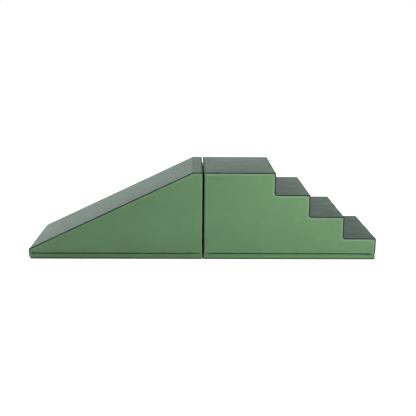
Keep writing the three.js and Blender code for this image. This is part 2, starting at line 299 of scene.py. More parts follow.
def trace(corners, step, closed=False):
    """Points along a line with rounded corners (a, b, radius), with each point's outward direction."""
    spots = [np.array(corner[:2]) for corner in corners]
    count = len(spots)
    sparse = []
    for i, (spot, corner) in enumerate(zip(spots, corners)):
        if not closed and i == 0:
            sparse.append((spot, left_of(unit(spots[1] - spot))))
        elif not closed and i == count - 1:
            sparse.append((spot, left_of(unit(spot - spots[i - 1]))))
        else:
            before = unit(spot - spots[i - 1])
            after = unit(spots[(i + 1) % count] - spot)
            sparse += arc_at(before, spot, after, corner[2])
    if closed:
        sparse.append(sparse[0])
    dense = []
    for (a, out_a), (b, out_b) in zip(sparse, sparse[1:]):
        parts = max(1, round(np.linalg.norm(b - a) / step))
        dense += [(a + (b - a) * k / parts, unit(out_a + (out_b - out_a) * k / parts)) for k in range(parts)]
    if not closed:
        dense.append(sparse[-1])
    return np.array([point for point, _ in dense]), np.array([out for _, out in dense])


def lengths_along(points):
    steps = np.linalg.norm(np.diff(points, axis=0), axis=1)
    return np.concatenate([[0], np.cumsum(steps)])


def rectangle(low, high, radius):
    """A rectangle's corners, with their radius, in an order that keeps the outside on the left."""
    spots = ((low[0], low[1]), (low[0], high[1]), (high[0], high[1]), (high[0], low[1]))
    return [(a, b, radius) for a, b in spots]


def inset_corners(corners, insets):
    """A closed outline moved inwards. insets says how far, for the edge after each corner."""
    edges = []
    for i, (corner, inset) in enumerate(zip(corners, insets)):
        here = np.array(corner[:2])
        way = unit(np.array(corners[(i + 1) % len(corners)][:2]) - here)
        edges.append((here - left_of(way) * inset, way))
    moved = []
    for i, corner in enumerate(corners):
        (p, way_p), (q, way_q) = edges[i - 1], edges[i]
        reach = np.linalg.solve(np.column_stack([way_p, -way_q]), q - p)[0]
        grown = insets[i] if crossed(way_p, way_q) > 0 else -insets[i]
        spot = p + reach * way_p
        moved.append((spot[0], spot[1], max(corner[2] + grown, PANEL_CORNER)))
    return moved


# Fabric: smooth seeded ripples that depend on the place alone


def ripple(points, wavelength, seed):
    """A sum of sine waves in random ways, about one wavelength long."""
    draws = np.random.default_rng(seed)
    total = np.zeros(len(points))
    for _ in range(WAVE_COUNT):
        way = unit(draws.normal(size=points.shape[1]))
        pace = 2 * math.pi / wavelength * draws.uniform(*WAVE_PACE_SHARES)
        total += np.sin(points @ way * pace + draws.uniform(0, 2 * math.pi))
    return total / math.sqrt(WAVE_COUNT)


def smooth(share):
    share = np.clip(share, 0, 1)
    return share * share * (3 - 2 * share)


def pucker(along, distance, seed):
    """Gathers along a seam, which die away with the distance from it."""
    line = np.asarray(along, float)[:, None]
    groups = PUCKER_EVEN_SHARE + (1 - PUCKER_EVEN_SHARE) * ripple(line, PUCKER_GROUP, seed + 1)
    return PUCKER_DEPTH * groups * ripple(line, PUCKER_LENGTH, seed) * np.exp(-distance / PUCKER_REACH)


def ridge(distance, place_at, width):
    """1 at a place, fading to 0 on both sides of it."""
    return np.exp(-((distance - place_at) / width) ** 2)


def eased(distance, width, drop):
    """How far a padded edge has sunk at a distance from its seam."""
    return drop * (1 - np.clip(distance / width, 0, 1)) ** EASE_POWER


def rounded_over(distance, width, drop):
    """How far a folded edge has turned in at a distance from it: a quarter of an ellipse."""
    share = 1 - np.clip(distance / width, 0, 1)
    return drop * (1 - np.sqrt(np.maximum(1 - share * share, 0)))


def hem_swell(height):
    """The folded hem above the zip stands a little proud."""
    return HEM_SWELL * smooth(1 - np.abs(height - HEM - HEM_PLACE) / HEM_REACH)


def pillow(share):
    """0 at both ends of a face and 1 in its middle, with a broad flat crown."""
    return 1 - np.abs(2 * np.clip(share, 0, 1) - 1) ** 3


def add_sheet(spots, columns, held, seed):
    """A flat grid with a Cloth modifier, sewn down where held says so, and cut unevenly full."""
    rows = len(spots) // columns
    faces = [
        (k, k + 1, k + 1 + columns, k + columns)
        for k in range(columns * (rows - 1)) if (k + 1) % columns
    ]
    mesh = bpy.data.meshes.new("sheet")
    mesh.from_pydata([(x, y, 0) for x, y in spots], [], faces)
    sheet = add_object("sheet", mesh)
    sewn = sheet.vertex_groups.new(name="sewn")
    sewn.add(np.flatnonzero(held).tolist(), 1, "REPLACE")
    full = sheet.vertex_groups.new(name="full")
    fullness = SHEET_FULL_SHARE + SHEET_UNEVEN_SHARE * ripple(spots, SHEET_EASE_LENGTH, seed)
    for k, share in enumerate(smooth(fullness)):
        full.add([k], float(share), "REPLACE")
    cloth = sheet.modifiers.new("cloth", "CLOTH").settings
    cloth.quality = SHEET_QUALITY
    cloth.mass = SHEET_MASS
    cloth.tension_stiffness = cloth.compression_stiffness = SHEET_STIFFNESS
    cloth.shear_stiffness = SHEET_STIFFNESS * SHEET_SHEAR_SHARE
    cloth.bending_stiffness = SHEET_BENDING
    cloth.effector_weights.gravity = SHEET_PUSH_SHARE
    cloth.vertex_group_mass = "sewn"
    cloth.vertex_group_shrink = "full"
    cloth.shrink_min = SHEET_GROWTH
    cloth.shrink_max = SHEET_SHRINK
    return sheet


def settled(low, high, held_at, seed):
    """How a cover's sheet settles over its foam, as a function of place, by a capped cloth simulation."""
    columns, rows = (2 + int((b - a) / SHEET_STEP) for a, b in zip(low, high))
    across = np.linspace(low[0], high[0], columns)
    up = np.linspace(low[1], high[1], rows)
    spots = np.array([(x, y) for y in up for x in across])
    relief = np.zeros(len(spots))
    sheet = add_sheet(spots, columns, held_at(spots), seed)
    for number in range(1, SHEET_FRAMES + 1):
        bpy.context.scene.frame_set(number)
    result = sheet.evaluated_get(bpy.context.evaluated_depsgraph_get()).data
    moved = np.empty(3 * len(spots), np.float32)
    result.vertices.foreach_get("co", moved)
    relief = -moved.reshape(-1, 3)[:, 2].astype(float)
    bpy.context.scene.frame_set(1)
    bpy.data.meshes.remove(sheet.data)
    relief = (relief * SHEET_CAP / max(relief.max(), SHEET_CAP)).reshape(rows, columns)

    def cell(values, axis, count):
        """The grid line before each value, and how far past it the value lies, eased."""
        run = (values - low[axis]) / (high[axis] - low[axis]) * (count - 1)
        run = np.clip(run, 0, count - 1 - JUST_INSIDE)
        return run.astype(int), smooth(run - run.astype(int))

    def at(points):
        j, over = cell(points[:, 0], 0, columns)
        i, down = cell(points[:, 1], 1, rows)
        near = relief[i, j] * (1 - over) + relief[i, j + 1] * over
        far = relief[i + 1, j] * (1 - over) + relief[i + 1, j + 1] * over
        return near * (1 - down) + far * down

    return at


# Meshes


def round_foot(inwards, height, radius):
    """Points near the bottom edge of an end, squeezed into its rounded corner."""
    past_in, past_down = radius - inwards, radius - height
    reach = np.maximum(np.hypot(past_in, past_down), CLEARANCE)
    scale = np.where((past_in > 0) & (past_down > 0), np.maximum(past_in, past_down) / reach, 1)
    return radius - past_in * scale, radius - past_down * scale


def place(block, local):
    """Block coordinates (u, y, z) as the frame's, with the foot of each end rounded."""
    u, y, z = np.moveaxis(np.array(local, float), -1, 0)
    inwards, z = round_foot(LENGTH - u, z, block.foot)
    u, z = round_foot(LENGTH - inwards, z, WALL_FOOT)
    return np.stack([block.side * (GAP_HALF + u), MIDDLE_Y + y, z], axis=-1)


def span(block, part):
    """How far a part of a block reaches along u."""
    low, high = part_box(f"{block.name}_{part}")
    return sorted((block.side * low.x - GAP_HALF, block.side * high.x - GAP_HALF))


def dress(piece, finish, body, node=None):
    """The piece takes a finish, rides on a body, and stands for the node that it replaces."""
    material, slot = finish
    piece.data.materials.append(material)
    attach(piece, body)
    if node is not None:
        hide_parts(node)


def make_piece(block, name, local, faces, finish, node=None, fill=None, marks=None):
    """A closed mesh in block coordinates as a smooth object, with its faces pointing out."""
    name = f"{block.name}_{name}"
    mesh = bpy.data.meshes.new(name)
    mesh.from_pydata(place(block, local).reshape(-1, 3).tolist(), [], faces)
    work = bmesh.new()
    work.from_mesh(mesh)
    if work.calc_volume(signed=True) < 0:
        bmesh.ops.reverse_faces(work, faces=work.faces)
    work.to_mesh(mesh)
    work.free()
    mesh.shade_smooth()
    for key, values in (marks or {}).items():
        full = np.zeros(len(mesh.vertices), np.float32)
        full[:len(values)] = values
        mesh.attributes.new(key, "FLOAT", "POINT").data.foreach_set("value", full)
    dress(add_object(name, mesh), finish, block.body, node and f"{block.name}_{node}")


def distance_from(points, outline):
    """Distance from each point to a closed outline, and the place along the outline that is nearest."""
    spans = np.roll(outline, -1, axis=0) - outline
    sizes = np.linalg.norm(spans, axis=1)
    lengths = np.concatenate([[0], np.cumsum(sizes)[:-1]])
    distances, places = [], []
    for chunk in np.array_split(points, max(1, len(points) // POINTS_AT_ONCE)):
        offset = chunk[:, None, :] - outline[None]
        share = np.clip((offset * spans).sum(2) / (sizes * sizes), 0, 1)
        gap = np.linalg.norm(offset - share[..., None] * spans, axis=2)
        nearest = gap.argmin(1)
        rows = np.arange(len(chunk))
        distances.append(gap[rows, nearest])
        places.append(lengths[nearest] + share[rows, nearest] * sizes[nearest])
    return np.concatenate(distances), np.concatenate(places)


def inside(points, outline):
    """Which points lie inside a closed outline."""
    hits = np.zeros(len(points), int)
    for (a, b), (c, d) in zip(outline, np.roll(outline, -1, axis=0)):
        if b != d:
            spans = (points[:, 1] >= min(b, d)) & (points[:, 1] < max(b, d))
            hits += spans & (points[:, 0] < a + (points[:, 1] - b) * (c - a) / (d - b))
    return hits % 2 == 1


def fill_outline(corners, grid_step, steps_in=EASE_ROWS):
    """Triangles inside a closed outline, in fine rows along its edge and a plain grid further in."""
    outline, outs = trace(corners, EDGE_STEP, closed=True)
    rows = []
    for offset in steps_in:
        row = outline - outs * offset
        clear = distance_from(row, outline)[0] > ROW_CLEAR_SHARE * offset
        rows.append(row[inside(row, outline) & clear])
    low, high = outline.min(0), outline.max(0)
    across = np.arange(low[0], high[0], grid_step)
    upwards = np.arange(low[1], high[1], grid_step * math.sqrt(3) / 2)
    grid = np.array([(a + grid_step / 2 * (j % 2), b) for j, b in enumerate(upwards) for a in across])
    grid = grid[inside(grid, outline)]
    grid = grid[distance_from(grid, outline)[0] > steps_in[-1] + grid_step / 2]
    points = np.concatenate([outline, *rows, grid])
    edge = list(range(len(outline)))
    made = delaunay_2d_cdt([tuple(p) for p in points], [], [edge], 1, MERGE_WITHIN)
    _, _, triangles, sources = made[:4]
    number = [source[0] for source in sources]
    corners_of = np.array([[number[v] for v in triangle] for triangle in triangles])
    first, second, third = (points[corners_of[:, k]] for k in range(3))
    flipped = crossed((second - first).T, (third - first).T) < 0
    corners_of[flipped] = corners_of[flipped][:, ::-1]
    distance, along = distance_from(points, outline)
    return points, corners_of.tolist(), distance, along, len(outline)


def seam_shade_and_highlight(distance):
    """Where a cover gets painted shade in its seam, and a painted highlight beside it."""
    return {"crease": np.exp(-distance / SEAM_SHADE_REACH), "painted_highlight": ridge(distance, HIGHLIGHT_PLACE, HIGHLIGHT_WIDTH)}


def rim_faces(edge, offset):
    """Quads between the edge points of a skin and those of the skin behind it."""
    return [[i, (i + 1) % edge, offset + (i + 1) % edge, offset + i] for i in range(edge)]


def panel_piece(block, name, corners, lay, skin, back, grid_step=GRID_STEP, seam_line=None, **details):
    """A closed panel. skin gives its outer points and their depths, and lay puts these in the block."""
    points, triangles, distance, along, edge = fill_outline(corners, grid_step)
    outer = lay(*skin(points, distance, along))
    inner = lay(points[:edge], np.full(edge, back))
    faces = triangles + rim_faces(edge, len(points)) + [list(range(len(points), len(points) + edge))]
    # Painted shade in the seams and a painted highlight beside them.
    marks = seam_shade_and_highlight(distance if seam_line is None else distance_from(points, seam_line)[0])
    make_piece(block, name, np.concatenate([outer, inner]), faces, marks=marks, **details)


def loft_faces(ring_count, ring_size, closed_way=False):
    """Quads between neighbouring rings of points, and a cap on each open end."""
    faces = []
    for i in range(ring_count if closed_way else ring_count - 1):
        here, there = i * ring_size, (i + 1) % ring_count * ring_size
        for j in range(ring_size):
            k = (j + 1) % ring_size
            faces.append([here + j, there + j, there + k, here + k])
    if not closed_way:
        last = (ring_count - 1) * ring_size
        faces.append(list(range(ring_size)))
        faces.append([last + j for j in reversed(range(ring_size))])
    return faces


def copies(template, faces, places, axes):
    """Many copies of a small closed mesh, each at its own place, all turned to the same three axes."""
    vertices = places[:, None, :] + (np.array(template) @ np.array(axes, float))[None]
    size = len(template)
    repeated = [[v + i * size for v in face] for i in range(len(places)) for face in faces]
    return vertices.reshape(-1, 3), repeated


def around(sides):
    """Cosine and sine at even steps round a circle."""
    angles = [2 * math.pi * k / sides for k in range(sides)]
    return [(math.cos(angle), math.sin(angle)) for angle in angles]


def quarter(steps):
    """How far cosine and sine fall short of 1, at even steps through a quarter of a circle."""
    angles = [math.pi / 2 * k / steps for k in range(steps + 1)]
    return [(1 - math.cos(angle), 1 - math.sin(angle)) for angle in angles]


def capsule(length, width, height):
    """A small bar along its first axis with rounded ends, as rings and faces."""
    rings = [
        (length * place_share, width / 2 * girth_share * across, height / 2 * girth_share * up)
        for place_share, girth_share in CAPSULE_SHARES for across, up in around(CAPSULE_SIDES)
    ]
    return rings, loft_faces(len(CAPSULE_SHARES), CAPSULE_SIDES)


# Materials


def feed(tree, socket, value):
    """A socket takes another node's output, or a plain value."""
    if isinstance(value, bpy.types.NodeSocket):
        tree.links.new(value, socket)
    else:
        socket.default_value = value


def add_node(tree, kind, settings=None, **inputs):
    node = tree.nodes.new("ShaderNode" + kind)
    for key, value in (settings or {}).items():
        setattr(node, key, value)
    for key, value in inputs.items():
        feed(tree, node.inputs[key.replace("_", " ")], value)
    return node


def new_material(name):
    material = bpy.data.materials.new(name)
    material.use_nodes = True
    tree = material.node_tree
    tree.nodes.clear()
    output = tree.nodes.new("ShaderNodeOutputMaterial")
    return material, tree, output.inputs["Surface"]


def object_place(tree, stretch=(1, 1, 1), turn=(0, 0, 0)):
    where = add_node(tree, "TexCoord").outputs["Object"]
    mapping = add_node(tree, "Mapping", Vector=where, Scale=stretch, Rotation=turn)
    return mapping.outputs["Vector"]


def noise(tree, scale, detail, where):
    return add_node(tree, "TexNoise", Vector=where, Scale=scale, Detail=detail).outputs["Fac"]


def map_range(tree, value, low, high, to_low=0, to_high=1):
    ends = {"From_Min": low, "From_Max": high, "To_Min": to_low, "To_Max": to_high}
    return add_node(tree, "MapRange", Value=value, **ends).outputs["Result"]


def between(tree, share, low, high):
    """A number that runs from low to high over the range where a noise mostly lies."""
    return map_range(tree, share, *NOISE_RANGE_SHARES, low, high)


def calculate(tree, operation, a, b):
    node = add_node(tree, "Math", {"operation": operation})
    feed(tree, node.inputs[0], a)
    feed(tree, node.inputs[1], b)
    return node.outputs[0]


def plus(tree, a, b):
    return calculate(tree, "ADD", a, b)


def times(tree, a, b):
    return calculate(tree, "MULTIPLY", a, b)


def blend_colours(tree, share, a, b):
    node = add_node(tree, "Mix", {"data_type": "RGBA"})
    for number, value in ((0, share), (6, a), (7, b)):
        feed(tree, node.inputs[number], value)
    return node.outputs[2]


def shade(colour, factor):
    return (*(min(1, c * factor) for c in colour[:3]), 1)


def attribute(tree, name):
    return add_node(tree, "Attribute", {"attribute_name": name}).outputs["Fac"]


# Textures: scales, and how far tone, gloss and relief follow them
NOISE_RANGE_SHARES = (0.3, 0.7)
GRAIN_SCALE = 820
PORE_SCALE = 2300
MOTTLE_SCALE = 7
CLOUD_SCALE = 38
STREAK_STRETCH = (5, 60, 5)
STREAK_TURN = (0, 0, math.radians(24))
MOTTLE_SHARE = 0.05
MOTTLE_GLOSS = 0.08
CLOUD_SHARE = 0.5
CLOUD_TONE = 0.93
CLOUD_GLOSS = 0.03
GRAIN_SHARE = 0.16
GRAIN_TONE = 0.55
GRAIN_STRENGTH = 0.5
GRAIN_DEPTH = 0.15 * MM
PORE_SHARE = 0.35
# Painted highlight along seams and folds: a paler colour
HIGHLIGHT_LEAST_SHARE = 0.6
HIGHLIGHT_COLOUR_SHARE = 0.8
HIGHLIGHT_WHITE = 0.06
HIGHLIGHT_TONE = 1.25
# Painted shade in seams, folds and the gap: a darker colour
SEAM_SHADE_SHARE = 0.8
SEAM_SHADE_TONE = 0.3
SEAM_ROUGHNESS = 0.45
RELIEF_STRENGTH = 0.6
WAVES_PER_SCALE = 3.2
WEAVE_BEND = 0.6
WEAVE_ROUGHNESS = 0.85
WEAVE_DEPTH = 0.3 * MM
WEAVE_TONES = (0.65, 1.25)
FUZZ_SCALE = 3000
FUZZ_SHARE = 0.35
FUZZ_TONE = 1.6
BLOTCH_SIZE = 12
BLOTCH_TONE = 0.7


def fine_coat(tree, surface, tone, roughness, relief, strength, depth, specular=0.5, sunk=False):
    """The shader of every cover and part: a tone, a roughness and a fine relief, raised or sunk."""
    settings = {"invert": sunk}
    bump = add_node(tree, "Bump", settings, Strength=strength, Distance=depth, Height=relief)
    normal = bump.outputs["Normal"]
    shader = add_node(tree, "BsdfPrincipled", Base_Color=tone, Roughness=roughness, Normal=normal)
    shader.inputs["Specular IOR Level"].default_value = specular
    feed(tree, surface, shader.outputs["BSDF"])


def leathercloth(slot, roughness, specular, streaks, highlight_paint):
    """Coated cloth: a fine pebble grain and faint clouding, with painted shade in the seams and a painted
    highlight beside them and on folds.
    """
    colour = SLOT_COLOURS[slot]
    material, tree, surface = new_material(slot)
    where = object_place(tree)
    settings = {"feature": "SMOOTH_F1"}
    grain = add_node(tree, "TexVoronoi", settings, Vector=where, Scale=GRAIN_SCALE).outputs["Distance"]
    pores = noise(tree, PORE_SCALE, 2, where)
    mottle = noise(tree, MOTTLE_SCALE, 3, where)
    cloud = noise(tree, CLOUD_SCALE, 4, where)
    streak = noise(tree, 1, 3, object_place(tree, STREAK_STRETCH, STREAK_TURN))
    crease = attribute(tree, "crease")
    low, high = (shade(colour, 1 + change) for change in (-MOTTLE_SHARE, MOTTLE_SHARE))
    tone = blend_colours(tree, between(tree, mottle, 0, 1), low, high)
    tone = blend_colours(tree, between(tree, cloud, 0, CLOUD_SHARE), tone, shade(colour, CLOUD_TONE))
    pitted = times(tree, map_range(tree, grain, 0, 1), GRAIN_SHARE)
    tone = blend_colours(tree, pitted, tone, shade(colour, GRAIN_TONE))
    # Painted highlight: a paler colour along the seams and folds, where the edges should catch the light.
    highlight_mask = times(tree, attribute(tree, "painted_highlight"), between(tree, cloud, HIGHLIGHT_LEAST_SHARE * highlight_paint, highlight_paint))
    highlight_colour = shade([c * HIGHLIGHT_COLOUR_SHARE + HIGHLIGHT_WHITE for c in colour], HIGHLIGHT_TONE)
    tone = blend_colours(tree, highlight_mask, tone, highlight_colour)
    # Painted shade: a darker colour in the seams, on the rolled edges and folds, and inside the gap between
    # the blocks.
    tone = blend_colours(tree, times(tree, crease, SEAM_SHADE_SHARE), tone, shade(colour, SEAM_SHADE_TONE))
    gloss = plus(tree, between(tree, streak, -streaks, streaks), roughness)
    gloss = plus(tree, gloss, between(tree, cloud, -CLOUD_GLOSS, CLOUD_GLOSS))
    gloss = plus(tree, gloss, times(tree, crease, SEAM_ROUGHNESS))
    relief = plus(tree, times(tree, pores, PORE_SHARE), grain)
    fine_coat(tree, surface, tone, gloss, relief, GRAIN_STRENGTH, GRAIN_DEPTH, specular, sunk=True)
    return material, slot


def woven(slot, pitch, pale=1.0):
    """A close weave: crossed waves along two directions, with a few paler threads."""
    colour = shade(SLOT_COLOURS[slot], pale)
    material, tree, surface = new_material(slot)
    where = object_place(tree)
    scale = 1 / pitch / WAVES_PER_SCALE
    waves = []
    for direction in ("X", "Z"):
        settings = {"wave_type": "BANDS", "bands_direction": direction}
        wave = add_node(tree, "TexWave", settings, Vector=where, Scale=scale, Distortion=WEAVE_BEND)
        waves.append(wave.outputs["Fac"])
    height = times(tree, *waves)
    fuzz = noise(tree, FUZZ_SCALE, 3, where)
    tone = blend_colours(tree, height, *(shade(colour, factor) for factor in WEAVE_TONES))
    tone = blend_colours(tree, between(tree, fuzz, 0, FUZZ_SHARE), tone, shade(colour, FUZZ_TONE))
    fine_coat(tree, surface, tone, WEAVE_ROUGHNESS, plus(tree, height, fuzz), RELIEF_STRENGTH, WEAVE_DEPTH)
    return material, slot


def mottled(name, slot, pale, roughness, scale, variation, depth):
    """Moulded, cast or foamed stuff: one colour with fine mottling, a little relief and uneven gloss."""
    colour = shade(SLOT_COLOURS[slot], pale)
    material, tree, surface = new_material(name)
    where = object_place(tree)
    fine = noise(tree, scale, 4, where)
    broad = noise(tree, scale / BLOTCH_SIZE, 3, where)
    low, high = (shade(colour, 1 + change) for change in (-variation, variation))
    tone = blend_colours(tree, between(tree, fine, 0, 1), low, high)
    tone = blend_colours(tree, between(tree, broad, 0, variation), tone, shade(colour, BLOTCH_TONE))
    gloss = plus(tree, between(tree, broad, -MOTTLE_GLOSS, MOTTLE_GLOSS), roughness)
    fine_coat(tree, surface, tone, gloss, fine, RELIEF_STRENGTH, depth)
    return material, slot


# The last number of each cloth sets the strength of its painted highlight.
green = leathercloth("green_leathercloth", roughness=0.5, specular=0.35, streaks=0.02, highlight_paint=1)
dark = leathercloth("dark_leathercloth", roughness=0.34, specular=0.55, streaks=0.03, highlight_paint=0.25)
thread = mottled("green_thread", "green_leathercloth", 0.75, 0.6, 4000, 0.3, 0.1 * MM)
foam = mottled("foam", "foam", 1, 0.95, 900, 0.12, 0.4 * MM)
base_cloth = woven("anti_slip_sheet", 0.9 * MM)
rubber = mottled("grip_dots", "anti_slip_sheet", 0.5, 0.7, 1500, 0.2, 0.05 * MM)
tape_cloth = woven("zip_tape", 0.7 * MM, pale=1.4)
coil_plastic = mottled("zip_coil", "zip_coil", 1.8, 0.38, 1800, 0.15, 0.03 * MM)
metal = mottled("zip_metal", "zip_metal", 1.8, 0.42, 2500, 0.15, 0.03 * MM)
pile = mottled("hook_and_loop", "hook_and_loop", 1, 0.95, 1400, 0.6, 0.6 * MM)


# The two blocks, with the corners of their profiles as (u, height, radius)

RAMP_CORNERS = [(0, HEIGHT, 0), (LIP, HEIGHT, LIP_FOLD), (LENGTH, NOSE, NOSE_FOLD)]


def stair_corners():
    corners = [(0, HEIGHT, 0)]
    riser = HEIGHT / LEVELS
    for level in range(LEVELS, 1, -1):
        edge = PLATFORM + (LEVELS - level) * TREAD
        corners.append((edge, level * riser, NOSING))
        corners.append((edge, (level - 1) * riser, INNER_CORNER))
    return corners + [(LENGTH, riser, NOSING)]


# Upright creases in the front of the stairs: place along u, lowest and highest point, width and depth
CREASE_END = 15 * MM
STAIR_CREASES = [
    (22 * MM, 40 * MM, 430 * MM, 2.5 * MM, 0.45 * MM),
    (LENGTH - 22 * MM, 45 * MM, 80 * MM, 3 * MM, 0.5 * MM),
    (LENGTH - 13 * MM, 42 * MM, 95 * MM, 2.5 * MM, 0.5 * MM),
]

# The ramp's wall fold gets a painted highlight, as it faces the right-hand lamp; the stairs' fold does not.
blocks = [
    SimpleNamespace(
        name="ramp", body="ramp_block", side=-1, top="slide_cover", strip="hook_strip",
        corners=RAMP_CORNERS, foot=NOSE_FOOT, waist=0.2 * MM, creases=[], highlit_fold=1, seed=100,
    ),
    SimpleNamespace(
        name="stair", body="stair_block", side=1, top="step_cover", strip="loop_strip",
        corners=stair_corners(), foot=STEP_FOOT, waist=1.5 * MM, creases=STAIR_CREASES,
        highlit_fold=0, seed=200,
    ),
]


def waist(block, height):
    """How far the seam above the band draws the outer end in."""
    return block.waist * (1 - smooth(np.abs(height - PANEL_FLOOR) / WAIST_REACH))


def cover_section():
    """The dark cover across: its place, height over the profile, outward way and distance from its seam."""
    edge = [(HALF_DEPTH - TUCK, -ROLL, 1, -1), (HALF_DEPTH - TUCK / 3, -ROLL + TUCK / 3, 1, -0.5)]
    edge.append((HALF_DEPTH, -ROLL + TUCK, 1, 0))
    for in_y, in_up in quarter(ROLL_STEPS):
        edge.append((HALF_DEPTH - EDGE_RADIUS * in_y, -EDGE_RADIUS * in_up, 1 - in_y, 1 - in_up))
    inner = HALF_DEPTH - EDGE_RADIUS
    flat = [(a, 0, 0, 1) for a in np.linspace(inner, -inner, 2 * round(inner / COVER_STEP) + 1)[1:-1]]
    other = [(-a, b, -c, d) for a, b, c, d in reversed(edge)]
    y, up, out_y, out_up = np.array(edge + flat + other).T
    size = np.hypot(out_y, out_up)
    run = lengths_along(np.column_stack([y, up]))
    return y, up, out_y / size, out_up / size, np.minimum(run, run[-1] - run)


def top_cover(block):
    """The dark cover follows the profile over the full depth and rolls over both long edges."""
    corners = [(0, HEIGHT - NOSING, 0), (0, HEIGHT, ROLL)] + block.corners[1:] + [(LENGTH, PANEL_FLOOR, 0)]
    path, outs = trace(corners, COVER_STEP)
    along = lengths_along(path)
    folds = np.array([along[np.linalg.norm(path - np.array(c[:2]), axis=1).argmin()] for c in corners])
    face = np.clip(np.searchsorted(folds, along, side="right") - 1, 0, len(folds) - 2)
    starts, ends = folds[face], folds[face + 1]
    crown = np.minimum(CROWN, CROWN_SHARE * (ends - starts)) * pillow((along - starts) / (ends - starts))

    def held(spots):
        to_fold = np.abs(spots[:, :1] - folds).min(1)
        return (to_fold < SHEET_HOLD) | (HALF_DEPTH - np.abs(spots[:, 1]) < SHEET_HOLD)

    sheet = settled((0, -HALF_DEPTH), (along[-1], HALF_DEPTH), held, block.seed + 5)
    y, up, out_y, out_up, from_seam = cover_section()
    run, over = np.meshgrid(along, y, indexing="ij")
    flat_place = np.column_stack([run.ravel(), over.ravel()])
    waves = WAVE_DEPTH * ripple(flat_place * (1, WAVE_SQUEEZE), WAVE_LENGTH, block.seed) + sheet(flat_place)
    gathers = pucker(run.ravel(), np.tile(from_seam, len(path)), block.seed + 10)
    gathers = gathers.reshape(run.shape) * np.where(over > 0, 1, -1)
    bead = BEAD_HEIGHT * ridge(HALF_DEPTH - np.abs(y), BEAD_PLACE, BEAD_WIDTH)
    swell = crown[:, None] + waves.reshape(run.shape) * smooth(from_seam / (3 * ROLL))
    height = up + swell * pillow((y / HALF_DEPTH + 1) / 2) + (bead + gathers) * smooth(from_seam / ROLL)
    drawn = rounded_over(along, SEAM_SHUT_WIDTH, TUCK)
    drawn = drawn + rounded_over(along[-1] - along, SEAM_SHUT_WIDTH, SEAM_SHUT)
    drawn = drawn + waist(block, path[:, 1]) * (path[:, 0] > LENGTH - CLEARANCE)
    height = height - drawn[:, None]

    def skin(rise, side):
        u = path[:, None, 0] + outs[:, None, 0] * rise
        z = path[:, None, 1] + outs[:, None, 1] * rise
        return np.stack([u, np.broadcast_to(side, rise.shape), z], axis=-1)

    outer = skin(height, y)
    inner = skin(height - out_up * SHELL, y - out_y * SHELL)
    rings = np.concatenate([outer, inner[:, ::-1]], axis=1)

    turning = np.abs(np.gradient(np.unwrap(np.arctan2(outs[:, 1], outs[:, 0])), along))
    folded = smooth(turning * NOSING)[:, None]
    # Painted highlight on the folds and along a line inside each seam, and painted shade on the folds and the
    # rolled edges.
    painted_highlight = np.maximum(FOLD_HIGHLIGHT_SHARE * folded, ridge(from_seam, HIGHLIGHT_INSIDE, HIGHLIGHT_WIDTH))
    crease = np.maximum(FOLD_SHADE_SHARE * folded, smooth(2 - from_seam / EDGE_SHADE))
    marks = {
        key: np.concatenate([values, np.zeros(run.shape)], axis=1).ravel()
        for key, values in (("painted_highlight", painted_highlight), ("crease", crease))
    }
    faces = loft_faces(len(path), rings.shape[1])
    make_piece(block, "dark_cover", rings, faces, dark, block.top, fill=0.95, marks=marks)


def over_zip(block, u):
    """1 above the zip, fading to 0 past its ends."""
    low, high = block.slot
    return smooth(1 + (u - low) / ZIP_FADE) * smooth(1 + (high - u) / ZIP_FADE)


def crease_lines(block, points):
    """How deep the soft upright creases in a block's front are at each point."""
    total = np.zeros(len(points))
    for u, low, high, width, depth in block.creases:
        beyond = np.maximum(np.maximum(low - points[:, 1], points[:, 1] - high), 0)
        total += depth * np.exp(-((points[:, 0] - u) / width) ** 2 - (beyond / CREASE_END) ** 2)
    return total


def side_panel(block, side):
    """A green side, flat over the foam, drawn in at its seams. The front has the zip's slot and a hem."""
    front = side == "front"
    sign, seed = (-1, block.seed + 20) if front else (1, block.seed + 30)
    outline = block.corners + [(LENGTH, PANEL_FLOOR, 0), (0, PANEL_FLOOR, 0)]
    wall_side = WRAP + CLEARANCE
    corners = inset_corners(outline, [NOSING] * (len(outline) - 2) + [0, wall_side])
    seam = [
        (u if u > wall_side + CLEARANCE else -LENGTH, z if z > PANEL_FLOOR + CLEARANCE else -LENGTH, radius)
        for u, z, radius in corners
    ]
    seam_line, _ = trace(seam, GRID_STEP, closed=True)
    near, far = block.slot
    if front:
        notch = [(far, PANEL_FLOOR, 0), (far, HEM, PANEL_CORNER), (near, HEM, PANEL_CORNER)]
        corners = corners[:-1] + notch + [(near, PANEL_FLOOR, 0)] + corners[-1:]

    def held(spots):
        sewn = (spots[:, 0] < wall_side + SHEET_HOLD) | (spots[:, 1] < PANEL_FLOOR + SHEET_HOLD)
        return sewn | ~inside(spots, seam_line) | (distance_from(spots, seam_line)[0] < SHEET_HOLD)

    sheet = settled((0, PANEL_FLOOR), (LENGTH, HEIGHT), held, seed + 5)

    def skin(points, distance, along):
        u, z = points.T
        to_seam, _ = distance_from(points, seam_line)
        spread = smooth(to_seam / WAVE_FADE)
        depth = eased(to_seam, SEAM_WIDTH, SEAM_DROP)
        depth = depth - WAVE_DEPTH * spread * ripple(points, WAVE_LENGTH, seed) - sheet(points)
        depth = depth + eased(u - wall_side, FLAT_SEAM_WIDTH, FLAT_SEAM_DROP)
        depth = depth - pucker(along, to_seam, seed + 1) * smooth(distance / SEAM_WIDTH)
        if front:
            to_slot = np.hypot(np.maximum(np.maximum(near - u, u - far), 0), np.maximum(z - HEM, 0))
            depth = depth - hem_swell(z) * over_zip(block, u) + crease_lines(block, points)
            depth = depth + rounded_over(to_slot, HEM_TURN, HEM_DROP + HEM_SWELL / 2)
        return points, depth + rounded_over(z - PANEL_FLOOR, SEAM_SHUT_WIDTH, SEAM_SHUT)

    def lay(points, depth):
        return np.column_stack([points[:, 0], sign * (HALF_DEPTH - depth), points[:, 1]])

    panel_piece(
        block, f"green_{side}", corners, lay, skin, HEM_LEAF,
        seam_line=seam_line, finish=green, node=f"{side}_panel", fill=0.95,
    )


